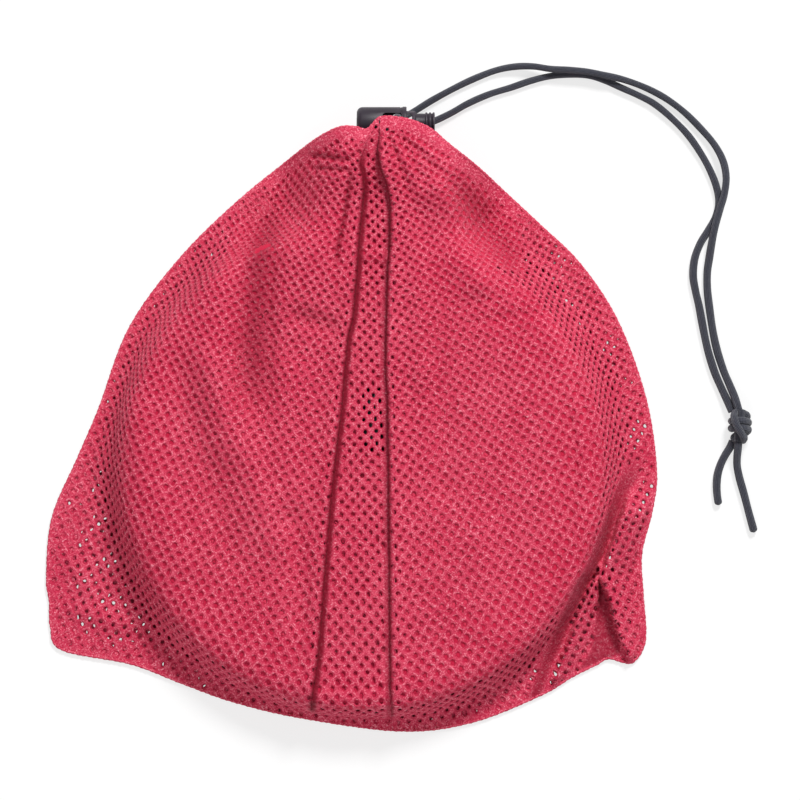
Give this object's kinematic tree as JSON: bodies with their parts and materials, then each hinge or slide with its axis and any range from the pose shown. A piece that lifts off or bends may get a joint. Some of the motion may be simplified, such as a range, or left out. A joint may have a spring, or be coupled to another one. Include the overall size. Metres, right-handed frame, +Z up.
{
  "type": "roundnet set in carry bag",
  "caption": "Compact roundnet lawn game folded flat and packed in a red mesh drawstring bag, with a sprung cord lock and knotted cord ends.",
  "frame": {"origin": "on the surface it lies on, under the middle of the bag with its cord lock", "axes": "+X to the right side of the lying bag, +Y towards the gathered mouth, +Z up"},
  "size_m": [0.3569, 0.3347, 0.0341],
  "materials": {
    "bag_mesh": "open knitted polyester mesh with staggered round holes",
    "cord": "matte braided cord",
    "lock_plastic": "moulded, satin",
    "spring_steel": "drawn wire",
    "sleeve_fabric": "woven polyester",
    "net_cord": "folded knitted net",
    "leg_metal": "satin",
    "dark_plastic": "moulded, matte",
    "pump_plastic": "moulded, glossy",
    "black_rubber": "moulded",
    "ball_vinyl": "soft vinyl, let down"
  },
  "bodies": {
    "packed_bag": {"bag_front_panel": "bag_mesh", "bag_back_panel": "bag_mesh", "bag_edge_seam": "bag_mesh", "drawcord_hem": "bag_mesh", "drawcord_in_hem": "cord", "drawcord_outer_strand": "cord", "drawcord_inner_strand": "cord", "drawcord_knot": "cord", "drawcord_long_tail": "cord", "drawcord_short_tail": "cord", "lock_barrel": "lock_plastic", "lock_spring": "spring_steel", "hoop_wire": "spring_steel", "hoop_ferrule": "spring_steel", "hoop_sleeve": "sleeve_fabric", "folded_net": "net_cord", "net_binding": "sleeve_fabric", "pump_barrel": "pump_plastic", "pump_cap": "dark_plastic", "inflation_needle": "spring_steel", "leg_tube_1": "leg_metal", "leg_tube_2": "leg_metal", "leg_tube_3": "leg_metal", "leg_tube_4": "leg_metal", "leg_tube_5": "leg_metal", "leg_clip_1": "dark_plastic", "leg_clip_2": "dark_plastic", "leg_clip_3": "dark_plastic", "leg_clip_4": "dark_plastic", "leg_clip_5": "dark_plastic", "leg_foot_1": "black_rubber", "leg_foot_2": "black_rubber", "leg_foot_3": "black_rubber", "leg_foot_4": "black_rubber", "leg_foot_5": "black_rubber", "flat_ball_1": "ball_vinyl", "flat_ball_2": "ball_vinyl", "ball_valve_1": "black_rubber", "ball_valve_2": "black_rubber"},
    "lock_button": {"lock_plunger": "lock_plastic"},
    "pump_plunger": {"pump_rod": "leg_metal", "pump_handle": "dark_plastic", "pump_piston": "dark_plastic", "pump_seal": "black_rubber"}
  },
  "joints": [
    {"name": "lock_press", "type": "slide", "parent": "packed_bag", "child": "lock_button", "axis": [-1, 0, 0], "range_m": [0, 0.005], "stiffness_N_per_m": 800, "springref_m": -0.004, "deforming": ["lock_spring"]},
    {"name": "pump_draw", "type": "slide", "parent": "packed_bag", "child": "pump_plunger", "axis": [-1, 0, 0], "range_m": [0, 0.034]}
  ]
}
